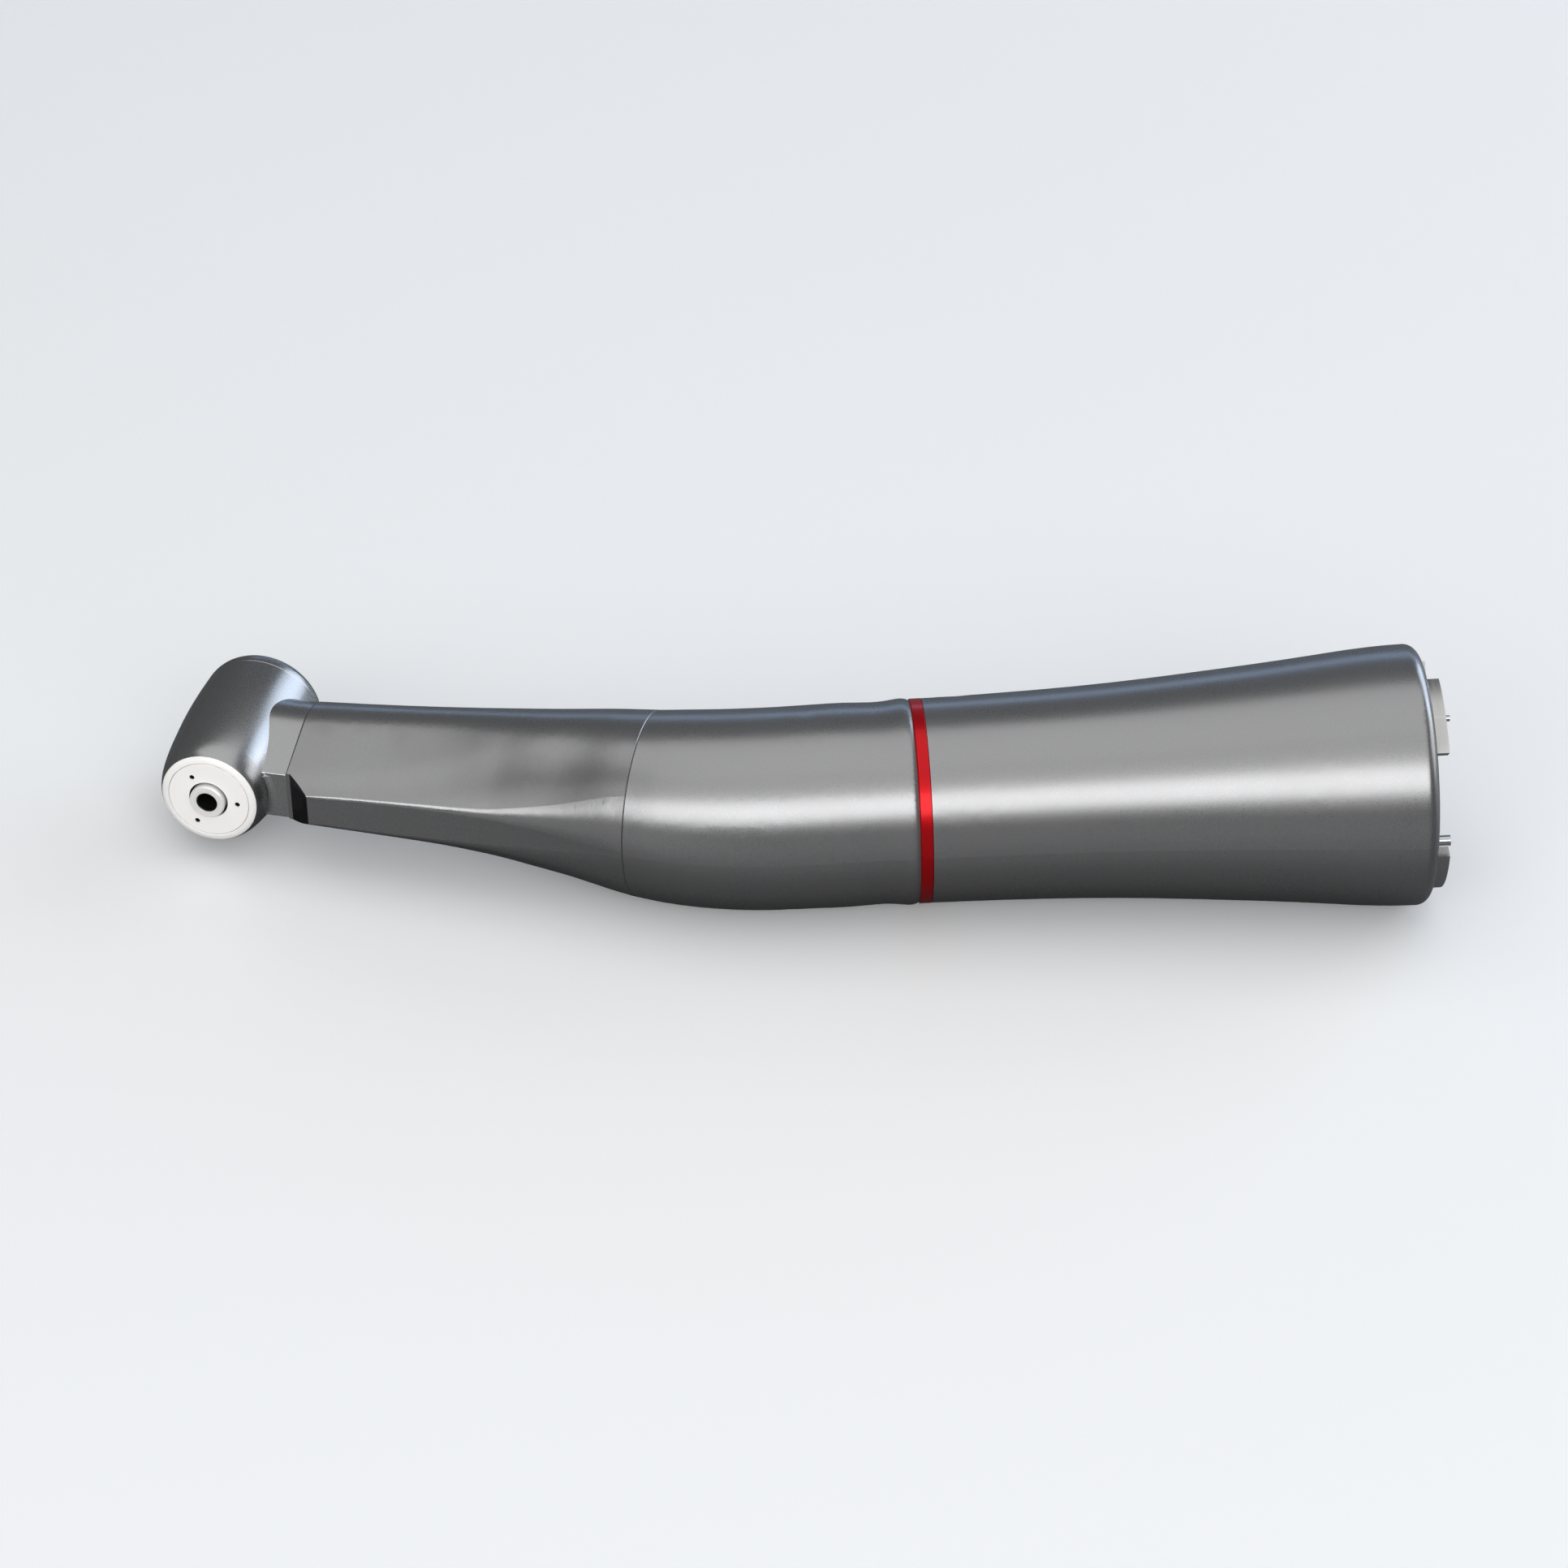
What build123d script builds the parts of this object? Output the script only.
from build123d import *
import math
import os
from typing import NamedTuple

# Dental contra-angle handpiece, speed-increasing (red ring), in separate pieces, in mm.
# It lies on its side: the grip axis is the X axis, the rear rim of the grip is the plane
# X = 0, and the body runs forward to -X, so +X points out of the coupling. The neck and
# the drill lie in the XY plane: the neck swings to +Y as it goes forward, and the drill
# is square to the neck, pointing mainly to -Y. "Up" is +Z.

# ---------------------------------------------------------------- driving sizes
KNEE = 56.06          # rear rim to the knee, where grip and neck axes meet
BEND = 18.0           # angle between grip axis and neck axis, degrees
DRILL_T = 39.76       # knee to the drill axis, along the neck
ARC_START = 50.6      # rear rim to the start of the curved end of the grip
SEAM_T = 5.49         # knee to the seam between grip and neck sleeve
JUNCTION_T = 33.8     # knee to the joint between neck sleeve and head
RIM_R = 10.36         # grip radius at the rear
GRIP_BORE_R = 7.30    # bore shared by both grip sleeves and the colour ring
RING_REAR = 39.36     # rear edge of the colour ring
RING_FRONT = 40.36    # front edge of the colour ring
RING_JOINT_R = 8.085  # rear sleeve radius at the colour ring
FACE_Z = 7.12         # neck axis to the working face of the head
CAP_Z = -5.68         # neck axis to the rear edge of the head shell
CAP_R = 5.00          # head shell radius at that edge
CHIN_DEPTH = 5.30     # neck axis to the flat under the head root
SHANK_R = 0.80        # friction-grip shank, 1.6 mm
NOSE_R = 7.50         # bore for the motor nose

# ---------------------------------------------------------------- frames
# Each has local z along its axis and y up. Local x points to the drill side in GRIP and
# NECK, and back towards the knee in HEAD, whose z is the drill direction.
bend_cos, bend_sin = math.cos(math.radians(BEND)), math.sin(math.radians(BEND))
KNEE_POINT = Vector(-KNEE, 0, 0)
NECK_DIR = Vector(-bend_cos, bend_sin, 0)
DRILL_DIR = Vector(-bend_sin, -bend_cos, 0)

GRIP = Plane(origin=(0, 0, 0), x_dir=(0, -1, 0), z_dir=(-1, 0, 0))
NECK = Plane(origin=KNEE_POINT, x_dir=DRILL_DIR, z_dir=NECK_DIR)
HEAD = Plane(origin=KNEE_POINT + NECK_DIR * DRILL_T, x_dir=-NECK_DIR, z_dir=DRILL_DIR)


def grip_point(z, x, y):
    """Grip-frame point in world coordinates."""
    return Vector(-z, -x, y)


def neck_point(t, x, y):
    """Neck-frame point, t along the neck, in world coordinates."""
    return KNEE_POINT + NECK_DIR * t + DRILL_DIR * x + Vector(0, 0, y)


# ---------------------------------------------------------------- shape helpers
def export_piece(name, shape, frame=None):
    """Place a shape from its local frame (None is world) and write its STEP file."""
    solids = shape.solids()
    piece = solids[0] if len(solids) == 1 else Compound(children=list(solids))
    if frame is not None:
        piece = piece.moved(frame.location)
    export_step(piece, "parts/" + name + ".step")


def lathe(outline):
    """Solid of revolution about local z from (radius, z) corner points."""
    with BuildPart() as part:
        with BuildSketch(Plane.XZ):
            with BuildLine():
                Polyline(*outline, close=True)
            make_face()
        revolve(axis=Axis.Z)
    return part.part


def spun(outer, inner):
    """Revolve a smooth outer line and a stepped inner line of (radius, z), rising in z."""
    with BuildPart() as part:
        with BuildSketch(Plane.XZ):
            with BuildLine():
                Spline(*outer)
                Polyline(outer[-1], *reversed(inner), outer[0])
            make_face()
        revolve(axis=Axis.Z)
    return part.part


def tube(outer_r, inner_r, z0, z1):
    """Tube about local z; an inner radius of 0 gives a solid rod."""
    place = Pos(0, 0, (z0 + z1) / 2)
    body = place * Cylinder(outer_r, z1 - z0)
    if inner_r > 0:
        body = body - place * Cylinder(inner_r, z1 - z0 + 2)
    return body


def box(x0, x1, y0, y1, z0, z1):
    centre = Pos((x0 + x1) / 2, (y0 + y1) / 2, (z0 + z1) / 2)
    return centre * Box(x1 - x0, y1 - y0, z1 - z0)


def arc_points(centre_x, centre_y, radius, start, end, steps):
    """Evenly spaced points on an arc between two angles in degrees, both ends included."""
    points = []
    for i in range(steps + 1):
        angle = math.radians(start + (end - start) * i / steps)
        points.append((centre_x + radius * math.cos(angle), centre_y + radius * math.sin(angle)))
    return points


def wedge(radius, start, end, z0, z1):
    """Pie slice about local z between two angles in degrees from local x."""
    outline = [(0, 0)] + arc_points(0, 0, radius, start, end, int((end - start) / 20) + 1)
    with BuildPart() as part:
        with BuildSketch(Plane.XY.offset(z0)):
            with BuildLine():
                Polyline(*outline, close=True)
            make_face()
        extrude(amount=z1 - z0)
    return part.part


def polar(angle, radius):
    angle = math.radians(angle)
    return Pos(radius * math.cos(angle), radius * math.sin(angle), 0)


def around(shape, count, offset=0.0):
    """Copies evenly spaced about local z; the offset is in pitches."""
    return [Rot(0, 0, (i + offset) * 360 / count) * shape for i in range(count)]


def rod_along(path, radius):
    section = Plane(origin=path @ 0, z_dir=path % 0) * Circle(radius)
    return sweep(sections=section, path=path)


def coil(radius, wire_r, z0, z1, turns):
    """Helical spring between two outside faces."""
    height = z1 - z0 - 2 * wire_r
    path = Helix(pitch=height / turns, height=height, radius=radius)
    return Pos(0, 0, z0 + wire_r) * rod_along(path, wire_r)


def neck_prism(half_width, outline):
    """Prism of (t, x) neck points, centred on the XY plane."""
    wire = Wire.make_polygon([neck_point(t, x, -half_width) for t, x in outline], close=True)
    return Solid.extrude(Face(wire), Vector(0, 0, 2 * half_width))


# ---------------------------------------------------------------- light guide and tubes
CHANNEL_GAP = 0.05    # clearance round each line where it passes through a piece


def tube_route(side):
    """Route of a tube on the side away from the drill; side is 1 above, -1 below."""
    return [
        grip_point(21.0, -5.5, side * 3.18), grip_point(35.0, -5.5, side * 3.18),
        grip_point(48.0, -5.5, side * 3.18), grip_point(56.0, -5.2, side * 2.6),
        neck_point(8.5, -5.0, side * 1.9), neck_point(18.0, -4.3, side * 1.45),
        neck_point(35.0, -4.05, side * 1.35),
    ]


LIGHT_ROUTE = [
    grip_point(21.0, 6.35, 0), grip_point(35.0, 6.35, 0), grip_point(48.0, 6.35, 0),
    grip_point(56.6, 5.3, 0), neck_point(9.0, 5.05, 0), neck_point(18.0, 5.15, 0),
    neck_point(25.0, 5.55, 0), neck_point(31.0, 5.85, 0),
]
ROUTES = {  # piece: route, radius
    "light_guide": (LIGHT_ROUTE, 0.62),
    "water_tube": (tube_route(1), 0.42),
    "air_tube": (tube_route(-1), 0.42),
}


def line_rod(route, radius):
    """Round rod that starts along the grip axis and ends along the neck axis."""
    path = Edge.make_spline(route, tangents=[Vector(-1, 0, 0), NECK_DIR])
    return rod_along(path, radius)


CHANNELS = {name: line_rod(route, r + CHANNEL_GAP) for name, (route, r) in ROUTES.items()}


def cut_channels(part, frame):
    """Cut all three channels from a part held in a local frame."""
    for channel in CHANNELS.values():
        part = part - channel.moved(frame.location.inverse())
    return part


# ---------------------------------------------------------------- grip sleeves
REAR_LINE = [  # radius, z
    (RIM_R, 1.05), (10.287, 3.30), (9.687, 9.77), (9.12, 16.22),
    (8.634, 22.67), (8.309, 29.12), (8.144, 35.56), (RING_JOINT_R, RING_REAR),
]
REAR_BORE = [  # radius, z, front to rear
    (GRIP_BORE_R, RING_REAR), (GRIP_BORE_R, 20.0), (8.0, 20.0), (8.0, 4.0), (9.12, 4.0),
]
# radii of the curved end at equal steps of angle, rear to front
CURVE_OUTER = [8.010, 7.998, 7.971, 7.928, 7.870, 7.797, 7.708, 7.587, 7.450]
CURVE_INNER = [7.25, 7.20, 7.12, 7.0, 6.88, 6.78, 6.70, 6.65, 6.6]
ARC_R = (KNEE - ARC_START) / math.tan(math.radians(BEND / 2))


def rear_grip_sleeve():
    with BuildPart() as part:
        with BuildSketch(Plane.XZ):
            with BuildLine():
                Line((9.12, 0.0), (9.37, 0.0))
                ThreePointArc((9.37, 0.0), (10.06, 0.32), REAR_LINE[0])
                Spline(*REAR_LINE)
                Polyline(REAR_LINE[-1], *REAR_BORE, (9.12, 0.0))
            make_face()
        revolve(axis=Axis.Z)
    return part.part


def colour_ring():
    edge_r, outer_r, bevel = 8.02, 8.10, 0.08
    return lathe([
        (GRIP_BORE_R, RING_REAR), (edge_r, RING_REAR), (outer_r, RING_REAR + bevel),
        (outer_r, RING_FRONT - bevel), (edge_r, RING_FRONT), (GRIP_BORE_R, RING_FRONT),
    ])


def arc_plane(degrees):
    """World frame of a section of the curved end at a bend angle."""
    turn = math.radians(degrees)
    sine, cosine = math.sin(turn), math.cos(turn)
    origin = Vector(-(ARC_START + ARC_R * sine), ARC_R * (1 - cosine), 0)
    return Plane(origin=origin, x_dir=(-sine, -cosine, 0), z_dir=(-cosine, sine, 0))


def bent_rod(radii):
    steps = len(radii) - 1
    return loft(Sketch() + [arc_plane(BEND * i / steps) * Circle(r) for i, r in enumerate(radii)])


def front_grip_sleeve():
    """Straight barrel and a curved end that meets the neck, in world coordinates."""
    straight = spun(
        [(7.98, RING_FRONT), (8.045, RING_FRONT + 0.12), (8.06, 41.99), (8.05, 45.2),
         (8.04, 48.41), (CURVE_OUTER[0], ARC_START)],
        [(GRIP_BORE_R, RING_FRONT), (GRIP_BORE_R, 48.3), (7.25, 48.3), (7.25, ARC_START)],
    ).moved(GRIP.location)
    seam_bevel = lathe([
        (7.38, SEAM_T + 0.01), (7.9, SEAM_T + 0.01), (7.9, SEAM_T - 0.09), (7.48, SEAM_T - 0.09),
    ]).moved(NECK.location)
    return straight + (bent_rod(CURVE_OUTER) - bent_rod(CURVE_INNER)) - seam_bevel


# ---------------------------------------------------------------- neck sleeve
class Section(NamedTuple):
    """Neck section: from the drill side round, a flat, a tight arc, a wide arc up to the
    flank angle, then a back whose tangent line at angle a lies
    back0 + back1 cos(a) + back2 cos(2a) from the neck axis."""
    t: float             # distance from the knee
    flat_depth: float
    half_flat: float
    tight_r: float
    join: float          # angle where the two arcs meet, degrees
    wide_r: float
    back0: float
    back1: float
    back2: float

    def moved_to(self, t, inset=0.0):
        """Same section at another station, pulled in all round."""
        return self._replace(t=t, flat_depth=self.flat_depth - inset,
                             tight_r=self.tight_r - inset, wide_r=self.wide_r - inset,
                             back0=self.back0 - inset)


SECTIONS = [Section(*row) for row in (  # columns as the fields of Section
    (SEAM_T + 0.07, 7.442, 0.010, 7.412, 38.0, 7.468, 7.441, -0.003, -0.001),
    (7.00, 7.284, 0.224, 6.576, 38.0, 7.860, 7.239, -0.105, -0.028),
    (9.00, 7.087, 0.502, 5.202, 38.0, 8.517, 6.882, -0.360, -0.082),
    (11.00, 6.919, 0.738, 3.886, 38.0, 9.317, 6.556, -0.518, -0.082),
    (13.00, 6.785, 0.932, 2.827, 38.0, 10.108, 6.319, -0.532, -0.035),
    (15.50, 6.673, 1.119, 1.698, 39.0, 10.618, 5.937, -0.705, -0.040),
    (18.00, 6.620, 1.245, 0.988, 40.8, 10.400, 5.544, -0.919, -0.061),
    (20.50, 6.614, 1.317, 0.654, 43.6, 9.556, 5.185, -1.100, -0.069),
    (23.50, 6.646, 1.348, 0.452, 45.9, 8.163, 4.878, -1.161, -0.034),
    (26.50, 6.706, 1.327, 0.359, 47.8, 6.843, 4.662, -1.121, 0.027),
    (29.50, 6.788, 1.258, 0.301, 49.0, 5.865, 4.504, -1.035, 0.100),
    (32.00, 6.867, 1.177, 0.253, 49.7, 5.321, 4.388, -0.960, 0.162),
    (JUNCTION_T - 0.14, 6.922, 1.117, 0.222, 50.0, 5.024, 4.319, -0.903, 0.205),
)]
FLANK = 70.0             # degrees
MIN_HALF_FLAT = 0.35     # the tight arc starts no nearer the middle than this
BACK_STEPS = 240


def resample(points, steps):
    """Evenly spaced points along a polyline, which may hold repeated points."""
    dist = [0.0]
    for start, end in zip(points, points[1:]):
        dist.append(dist[-1] + math.hypot(end[0] - start[0], end[1] - start[1]))
    result, k = [], 0
    for i in range(steps + 1):
        want = dist[-1] * i / steps
        while k < len(dist) - 2 and dist[k + 1] < want:
            k += 1
        step = dist[k + 1] - dist[k]
        part = 0.0 if step < 1e-9 else min(max((want - dist[k]) / step, 0.0), 1.0)
        (x0, y0), (x1, y1) = points[k], points[k + 1]
        result.append((x0 + part * (x1 - x0), y0 + part * (y1 - y0)))
    return result


def mirrored(points):
    return [(x, -y) for x, y in reversed(points)]


def section_wire(section):
    """Closed wire: flat, tight arc, flanks and back, tight arc."""
    t, flat_depth, half_flat, tight_r, join, wide_r, back0, back1, back2 = section
    tight_x = flat_depth - tight_r
    start = math.asin(min(max(0.0, (MIN_HALF_FLAT - half_flat) / tight_r), 0.5))
    tight = arc_points(tight_x, half_flat, tight_r, math.degrees(start), join, 6)
    wide_x = tight_x + (tight_r - wide_r) * math.cos(math.radians(join))
    wide_y = half_flat + (tight_r - wide_r) * math.sin(math.radians(join))
    wide = arc_points(wide_x, wide_y, wide_r, join, FLANK, 30)[1:]
    back = []
    for i in range(BACK_STEPS + 1):
        angle = math.radians(FLANK + (360 - 2 * FLANK) * i / BACK_STEPS)
        sine, cosine = math.sin(angle), math.cos(angle)
        depth = back0 + back1 * cosine + back2 * math.cos(2 * angle)
        slope = -back1 * sine - 2 * back2 * math.sin(2 * angle)
        back.append((depth * cosine - slope * sine, depth * sine + slope * cosine))
    lower_tight = mirrored(tight)
    wrap = resample([tight[-1]] + wide + back + mirrored(wide) + [lower_tight[0]], 30)

    def spline(points):
        last = len(points) - 1
        return Edge.make_spline([neck_point(t, x, y) for x, y in points],
                                parameters=[i / last for i in range(last + 1)])

    flat = Edge.make_line(neck_point(t, *lower_tight[-1]), neck_point(t, *tight[0]))
    return Wire([flat, spline(tight), spline(wrap), spline(lower_tight)])


def neck_solid(sections, ruled=False):
    return Solid.make_loft([section_wire(s) for s in sections], ruled)


def neck_sleeve():
    """Faceted at the front and round at the rear, in world coordinates."""
    first, last = SECTIONS[0], SECTIONS[-1]
    rear_bevel = neck_solid([first.moved_to(SEAM_T, 0.07), first], True)
    front_bevel = neck_solid([last, last.moved_to(JUNCTION_T, 0.12)], True)
    outer = neck_solid(SECTIONS) + rear_bevel + front_bevel
    bore = lathe([
        (0, SEAM_T - 1), (5.95, SEAM_T - 1), (5.95, 9.05), (2.82, 21.0),
        (2.82, JUNCTION_T + 1), (0, JUNCTION_T + 1),
    ]).moved(NECK.location)
    # under the chin the front edge is cut back, leaving the window opening
    chin_cut = neck_prism(6, [
        (JUNCTION_T + 0.5, CHIN_DEPTH), (JUNCTION_T - 0.35, CHIN_DEPTH),
        (30.74, 7.6), (JUNCTION_T + 0.5, 7.6),
    ])
    window_pocket = neck_prism(1.3, [
        (JUNCTION_T + 0.4, 5.33), (31.0, 5.33), (31.0, 6.55), (32.3, 6.55),
        (JUNCTION_T + 0.4, 6.4),
    ])
    sleeve = outer - bore - chin_cut
    for channel in CHANNELS.values():
        sleeve = sleeve - channel
    return sleeve - window_pocket


def light_window():
    return neck_prism(1.26, [(31.05, 5.38), (31.05, 6.50), (31.75, 6.50), (32.35, 5.38)])


# ---------------------------------------------------------------- rear coupling
PINS = [  # angle, distance from axis, radius, rear z, front z
    (-4.0, 8.52, 0.42, -1.0, 2.6),
    (63.0, 8.80, 0.24, -1.3, 0.6),
]
NOTCHES = ((-12, 44), (89, 134), (179, 224), (269, 285))   # start and end angles
SNAP_REAR, SNAP_FRONT = 16.0, 16.8                         # snap ring groove


def coupling_ring():
    ring = tube(9.06, 7.98, -1.0, 3.9)
    for start, end in NOTCHES:
        ring = ring - wedge(20, start, end, -2.0, 0.0)
    for angle, distance, radius, _, front in PINS:
        ring = ring - polar(angle, distance) * tube(radius + 0.01, 0, -2.0, front + 0.02)
    return ring


def alignment_pins():
    return Part() + [polar(angle, distance) * tube(radius, 0, rear, front)
                     for angle, distance, radius, rear, front in PINS]


def coupling_bushing():
    body = lathe([(NOSE_R, 0.2), (7.95, 0.2), (7.95, 19.8), (7.72, 19.8), (7.72, 14.35),
                  (NOSE_R, 14.2)])
    return body - tube(7.88, 7.0, SNAP_REAR, SNAP_FRONT)


def snap_ring():
    gap = 0.04
    return tube(7.86, 7.66, SNAP_REAR + gap, SNAP_FRONT - gap) - wedge(20, 165, 195, 15.0, 18.0)


# ---------------------------------------------------------------- core frame
def core_frame():
    """Carrier inside the grip, with a seat for each input bearing."""
    seat_r, bore_r = 4.0, 3.4
    return cut_channels(lathe([
        (4.30, 20.5), (7.27, 20.5), (7.27, 48.3), (5.62, 48.3), (5.62, 41.4), (bore_r, 41.4),
        (bore_r, 39.9), (seat_r, 39.9), (seat_r, 37.1), (bore_r, 37.1), (bore_r, 26.9),
        (seat_r, 26.9), (seat_r, 23.6), (4.30, 23.6),
    ]), GRIP)


def knee_plate():
    """Disc across the grip, pierced along the neck axis."""
    neck_hole = tube(2.62, 0, -14, 8).moved(NECK.location).moved(GRIP.location.inverse())
    return cut_channels(tube(7.22, 0, 48.45, 50.3) - neck_hole, GRIP)


def neck_tube():
    return cut_channels(lathe([
        (2.12, -7.6), (2.6, -7.6), (2.6, 6.0), (5.92, 6.0), (5.92, 9.0), (2.6, 9.0),
        (2.6, 24.8), (2.08, 24.8), (2.08, 30.0), (1.5, 30.0), (1.5, -5.75), (2.12, -5.75),
    ]), NECK)


def neck_lock_nut():
    nut = tube(4.15, 2.62, 9.2, 11.2)
    for x0, x1 in ((2.4, 5), (-5, -2.4)):
        nut = nut - box(x0, x1, -0.5, 0.5, 10.2, 12)
    return nut


# ---------------------------------------------------------------- ball bearings
BEARINGS = [
    # name, frame, rear z, width, bore radius, inner race radius, ball radius,
    # outer race inside radius, outside radius, balls
    ("input_rear_bearing", GRIP, 24.0, 2.6, 1.5, 2.2, 0.62, 3.5, 3.99, 8),
    ("input_front_bearing", GRIP, 37.2, 2.6, 1.5, 2.2, 0.62, 3.5, 3.99, 8),
    ("neck_rear_bearing", NECK, -7.4, 1.6, 0.80, 1.12, 0.30, 1.78, 2.10, 7),
    ("neck_front_bearing", NECK, 33.7, 1.6, 0.80, 1.12, 0.30, 1.78, 2.10, 7),
    ("head_front_bearing", HEAD, 3.6, 1.9, 1.30, 1.78, 0.42, 2.64, 3.13, 8),
    ("head_rear_bearing", HEAD, -4.95, 1.7, 1.20, 1.70, 0.42, 2.64, 3.13, 8),
]


def bearing(name, frame, z0, width, bore_r, inner_r, ball_r, outer_r, outside_r, count):
    """Export the outer race, and the inner race with balls and cage as one piece."""
    middle = z0 + width / 2
    circle_r = (inner_r + outer_r) / 2
    groove = Pos(0, 0, middle) * Torus(circle_r, ball_r + 0.015)
    export_piece(name + "_outer", tube(outside_r, outer_r, z0, z0 + width) - groove, frame)
    race = tube(inner_r, bore_r, z0, z0 + width) - groove
    site = Pos(circle_r, 0, middle)
    pocket = site * (Rot(0, 90, 0) * Cylinder(ball_r + 0.02, ball_r * 1.6))
    cage = tube(circle_r + ball_r * 0.35, circle_r - ball_r * 0.35,
                middle - ball_r * 1.25, middle + ball_r * 1.25)
    for hole in around(pocket, count):
        cage = cage - hole
    balls = around(site * Sphere(ball_r), count)
    export_piece(name + "_inner", Part() + [race, cage] + balls, frame)


# ---------------------------------------------------------------- input shaft group
INPUT_SHAFT_R = 1.5
INPUT_SHAFT_END = 44.4


def input_shaft():
    """Stepped shaft with a clip groove and a slot across its rear end."""
    body = lathe([
        (0, 14.6), (0.95, 14.6), (1.1, 14.75), (1.1, 15.0), (0.93, 15.0), (0.93, 15.3),
        (1.1, 15.3), (1.1, 24.0), (INPUT_SHAFT_R, 24.0), (INPUT_SHAFT_R, INPUT_SHAFT_END),
        (0, INPUT_SHAFT_END),
    ])
    return body - box(-2, 2, -0.15, 0.15, 14, 14.9)


def dog_clip():
    return tube(1.55, 0.94, 15.02, 15.28) - box(0.2, 3, -0.55, 0.55, 14, 16)


def drive_dog():
    dog = tube(2.25, 1.13, 15.32, 19.4) - box(-3, 3, -0.75, 0.75, 14, 16.7)
    return dog + tube(2.55, 2.2, 17.6, 19.4)


def dog_spring():
    return coil(radius=1.75, wire_r=0.17, z0=19.45, z1=23.95, turns=5)


def bearing_nut():
    return tube(4.26, 2.65, 20.7, 23.55) - box(-5, 5, -0.5, 0.5, 20.5, 21.3)


# ---------------------------------------------------------------- knee gears
# internal bevel pair with its apex at the knee
RING_TEETH, PINION_TEETH = 30, 9
RING_CONE = math.radians(25.39)
PINION_CONE = RING_CONE - math.radians(BEND)
SLANT_NEAR, SLANT_FAR = 9.30, 11.60      # tooth ends, measured from the apex
SLANT_MID = (SLANT_NEAR + SLANT_FAR) / 2
PINION_REAR = -SLANT_FAR * math.cos(PINION_CONE)
PINION_FRONT = -SLANT_NEAR * math.cos(PINION_CONE)


def tooth_wire(rows, scale, z):
    """Closed tooth outline across z from scaled (radius, half width) rows."""
    points = [(r * scale, -half * scale, z) for r, half in rows]
    points += [(r * scale, half * scale, z) for r, half in reversed(rows)]
    return Wire.make_polygon([Vector(*p) for p in points], close=True)


def bevel_tooth(rows, cone, apex):
    """Tooth scaled from the apex; the rows hold at the middle slant distance."""
    return Solid.make_loft([
        tooth_wire(rows, slant / SLANT_MID, apex - slant * math.cos(cone))
        for slant in (SLANT_FAR, SLANT_NEAR)
    ], True)


def knee_ring_gear():
    pitch_r = SLANT_MID * math.sin(RING_CONE)
    root_r = pitch_r + 0.33
    rear = KNEE - SLANT_FAR * math.cos(RING_CONE)
    front = KNEE - SLANT_NEAR * math.cos(RING_CONE)
    cup = lathe([
        (INPUT_SHAFT_R, 41.6), (2.4, 41.6), (2.4, 43.3), (5.3, 43.3), (5.56, 43.56),
        (5.56, front), (root_r * SLANT_NEAR / SLANT_MID, front),
        (root_r * SLANT_FAR / SLANT_MID, rear), (root_r * SLANT_FAR / SLANT_MID, INPUT_SHAFT_END),
        (INPUT_SHAFT_R, INPUT_SHAFT_END),
    ])
    rows = [(root_r + 0.06, 0.25), (pitch_r, 0.17), (pitch_r - 0.20, 0.11)]
    return cup + around(bevel_tooth(rows, RING_CONE, KNEE), RING_TEETH, 0.5)


def knee_pinion():
    bore_r = 0.75
    pitch_r = SLANT_MID * math.sin(PINION_CONE)
    root_r = pitch_r - 0.32
    body = lathe([
        (bore_r, PINION_REAR), (root_r * SLANT_FAR / SLANT_MID, PINION_REAR),
        (root_r * SLANT_NEAR / SLANT_MID, PINION_FRONT), (bore_r, PINION_FRONT),
    ])
    rows = [(root_r - 0.10, 0.25), (root_r, 0.25), (pitch_r, 0.17), (pitch_r + 0.26, 0.09)]
    tooth = bevel_tooth(rows, PINION_CONE, 0) - tube(bore_r + 0.01, 0, -13, -8)
    return body + around(tooth, PINION_TEETH)


# ---------------------------------------------------------------- neck shaft and head gears
CROWN_TEETH, SPINDLE_TEETH = 15, 10
NECK_SHAFT_R = 0.80
CROWN_FACE = DRILL_T - 2.02      # front end of the neck shaft and the crown disc


def neck_shaft():
    return lathe([(0, PINION_REAR), (0.75, PINION_REAR), (0.75, -7.45), (NECK_SHAFT_R, -7.45),
                  (NECK_SHAFT_R, CROWN_FACE), (0, CROWN_FACE)])


def crown_gear():
    """Disc with teeth on its front face, widening outwards."""
    outer_r, inner_r, pitch_r = 2.85, 2.20, 2.55
    root, tip = DRILL_T - 2.06, DRILL_T - 1.43
    ends = []
    for r in (inner_r, outer_r):
        root_half, tip_half = 0.26 * r / pitch_r, 0.13 * r / pitch_r
        ends.append(Wire.make_polygon([
            Vector(r, -root_half, root), Vector(r, root_half, root),
            Vector(r, tip_half, tip), Vector(r, -tip_half, tip),
        ], close=True))
    tooth = Solid.make_loft(ends, True)
    return tube(outer_r, NECK_SHAFT_R, 36.5, CROWN_FACE) + around(tooth, CROWN_TEETH, 0.5)


def spindle_pinion():
    z0, z1 = 2.15, 2.95
    rows = [(1.30, 0.24), (1.38, 0.24), (1.70, 0.19), (1.93, 0.10)]
    tooth = Solid.extrude(Face(tooth_wire(rows, 1, z0)), Vector(0, 0, z1 - z0))
    return tube(1.38, 1.20, z0, z1) + around(tooth, SPINDLE_TEETH)


# ---------------------------------------------------------------- chuck spindle group
def chuck_spindle():
    return lathe([
        (0.98, -5.25), (1.20, -5.25), (1.20, 3.1), (1.30, 3.1), (1.30, 6.1), (1.45, 6.1),
        (1.45, 7.46), (1.35, 7.56), (0.90, 7.56), (SHANK_R, 7.46), (SHANK_R, 5.2), (0.98, 5.2),
    ])


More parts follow.
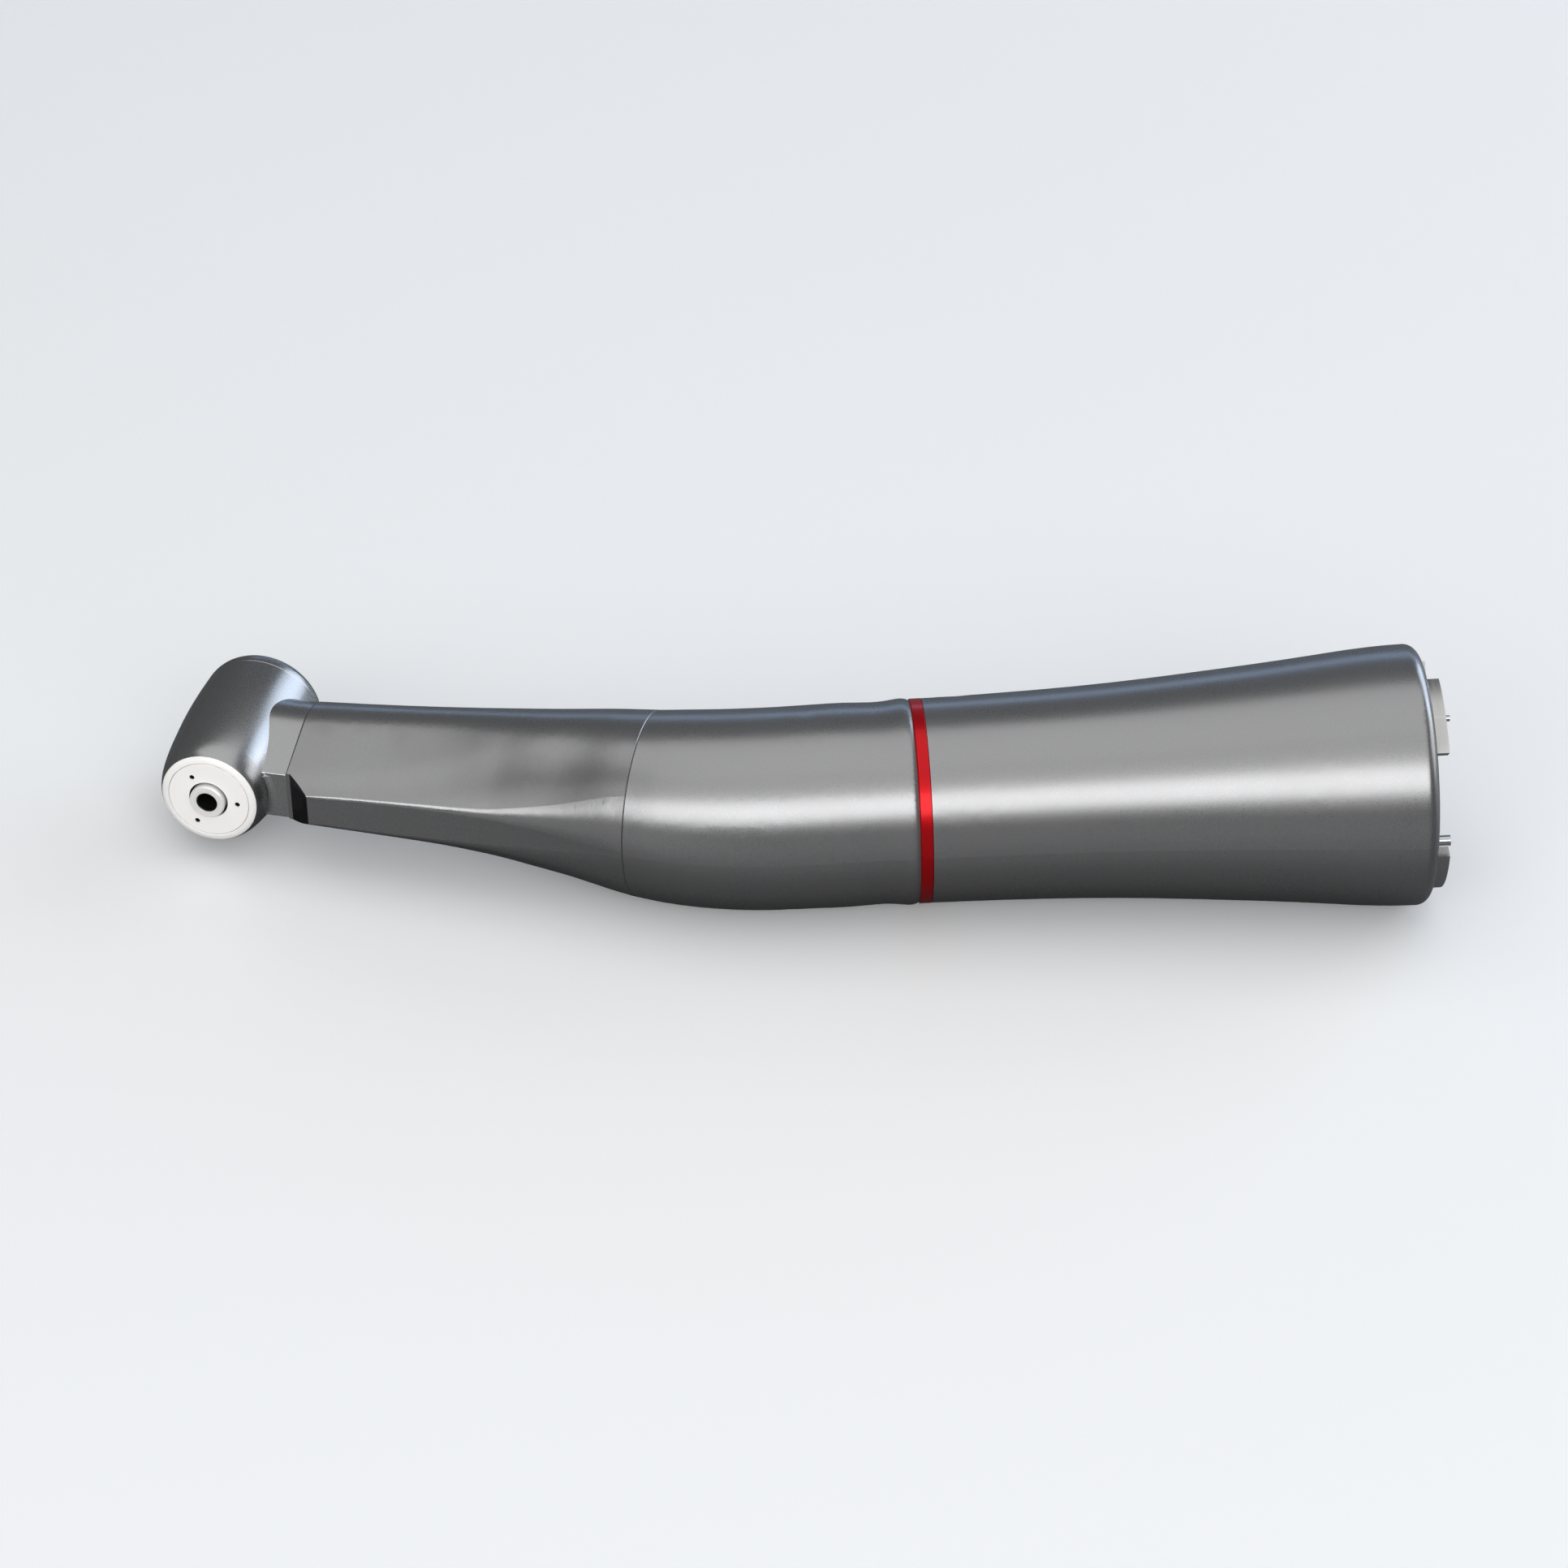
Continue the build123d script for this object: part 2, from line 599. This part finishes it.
def collet():
    sleeve = tube(0.975, SHANK_R, -2.6, 5.2)
    for slot in around(box(0.5, 1.2, -0.07, 0.07, -0.5, 5.3), 3, 0.5):
        sleeve = sleeve - slot
    return sleeve


def release_plunger():
    return lathe([(0, -5.15), (0.90, -5.15), (0.90, -3.6), (0.78, -3.3), (0, -3.3)])


# ---------------------------------------------------------------- head
BARREL_LINE = [  # radius, z
    (CAP_R, CAP_Z), (5.05, -4.2), (5.07, -2.5), (5.04, -1.0), (4.97, 0.5), (4.87, 1.9),
    (4.76, 3.2), (4.62, 4.4), (4.46, 5.4), (4.25, 6.25), (4.10, 6.64), (3.93, 6.93),
]
# the join angle equals the flank, so the wide arc has no length
HEAD_ROOT = Section(JUNCTION_T, CHIN_DEPTH, 1.95, 0.12, FLANK, 0.12, 4.270, -0.903, 0.205)


def head_housing():
    """Barrel, root and spigot into the neck, in world coordinates."""
    barrel = spun(BARREL_LINE, [
        (0, CAP_Z), (0, FACE_Z), (3.43, FACE_Z), (3.62, FACE_Z - 0.03), (3.80, FACE_Z - 0.10),
    ]).moved(HEAD.location)
    root = neck_solid([HEAD_ROOT, HEAD_ROOT.moved_to(36.2), HEAD_ROOT.moved_to(38.6)])
    # concave corner where the flat under the root meets the barrel
    corner = [(3.80, 5.2), (5.04, 5.2), (5.04, CHIN_DEPTH)]
    corner += arc_points(5.04, 6.02, 0.72, 255, 180, 5) + [(3.80, 6.02)]
    root_corner = (lathe(corner) & box(0, 6, -1.72, 1.72, 5, 6.3)).moved(HEAD.location)
    spigot = tube(2.80, 0, 25.0, JUNCTION_T + 0.5).moved(NECK.location)
    shell = barrel + root + root_corner + spigot
    shell = shell - lathe([
        (0, -7.5), (3.62, -7.5), (3.62, -4.28), (3.14, -4.28), (3.14, 5.72), (3.36, 5.72),
        (3.36, 7.06), (3.43, 7.13), (3.43, 7.5), (0, 7.5),
    ]).moved(HEAD.location)
    shell = shell - tube(3.42, 3.0, 4.35, 4.65).moved(HEAD.location)   # O-ring groove
    shell = shell - lathe([
        (0, 24), (2.11, 24), (2.11, 36.3), (2.98, 36.3), (2.98, DRILL_T), (0, DRILL_T),
    ]).moved(NECK.location)
    return shell - CHANNELS["water_tube"] - CHANNELS["air_tube"]


def head_o_ring():
    return Pos(0, 0, 4.5) * Torus(3.275, 0.13)


def face_plate():
    """Working-face ring with three small holes."""
    plate = lathe([(1.62, 5.76), (3.33, 5.76), (3.33, FACE_Z - 0.06), (3.27, FACE_Z),
                   (1.62, FACE_Z)])
    for angle, distance in ((122.0, 2.31), (-3.0, 2.42), (-117.2, 2.42)):
        plate = plate - polar(angle, distance) * tube(0.21, 0, 4.8, 7.8)
    return plate


def cap_ring():
    return lathe([
        (1.55, -5.6), (1.55, -5.15), (3.14, -5.15), (3.14, -4.30), (3.60, -4.30),
        (3.60, CAP_Z - 0.02), (CAP_R - 0.07, CAP_Z - 0.02), (CAP_R, CAP_Z - 0.09),
        (4.99, -6.10), (4.95, -6.40), (4.87, -6.68), (4.74, -6.94), (4.56, -7.18),
        (4.33, -7.39), (4.05, -7.57), (3.72, -7.71), (3.36, -7.80), (3.12, -7.82),
        (3.0, -7.72), (3.0, -6.95), (3.20, -6.95), (3.20, -5.6),
    ])


def button_cap():
    return lathe([
        (0, -7.50), (2.65, -7.50), (2.65, -6.25), (3.15, -6.25), (3.15, -6.90), (2.94, -6.90),
        (2.94, -8.24), (2.86, -8.36), (2.5, -8.45), (1.8, -8.53), (0.9, -8.58), (0, -8.60),
    ])


def button_pin():
    return lathe([(0, -7.5), (0.60, -7.5), (0.60, -5.55), (0.5, -5.45), (0, -5.45)])


def button_spring():
    return coil(radius=2.25, wire_r=0.15, z0=-7.48, z1=-5.62, turns=3)


# ---------------------------------------------------------------- build and export
# each function gives its name to the file it builds
PIECES = [
    (None, (front_grip_sleeve, neck_sleeve, light_window, head_housing)),
    (GRIP, (rear_grip_sleeve, colour_ring, coupling_ring, alignment_pins, coupling_bushing,
            snap_ring, core_frame, knee_plate, input_shaft, dog_clip, drive_dog, dog_spring,
            bearing_nut, knee_ring_gear)),
    (NECK, (neck_tube, neck_lock_nut, knee_pinion, neck_shaft, crown_gear)),
    (HEAD, (chuck_spindle, spindle_pinion, collet, release_plunger, head_o_ring, face_plate,
            cap_ring, button_cap, button_pin, button_spring)),
]

os.makedirs("parts", exist_ok=True)
for frame, builders in PIECES:
    for build in builders:
        export_piece(build.__name__, build(), frame)
for name, (route, radius) in ROUTES.items():
    export_piece(name, line_rod(route, radius))
for row in BEARINGS:
    bearing(*row)
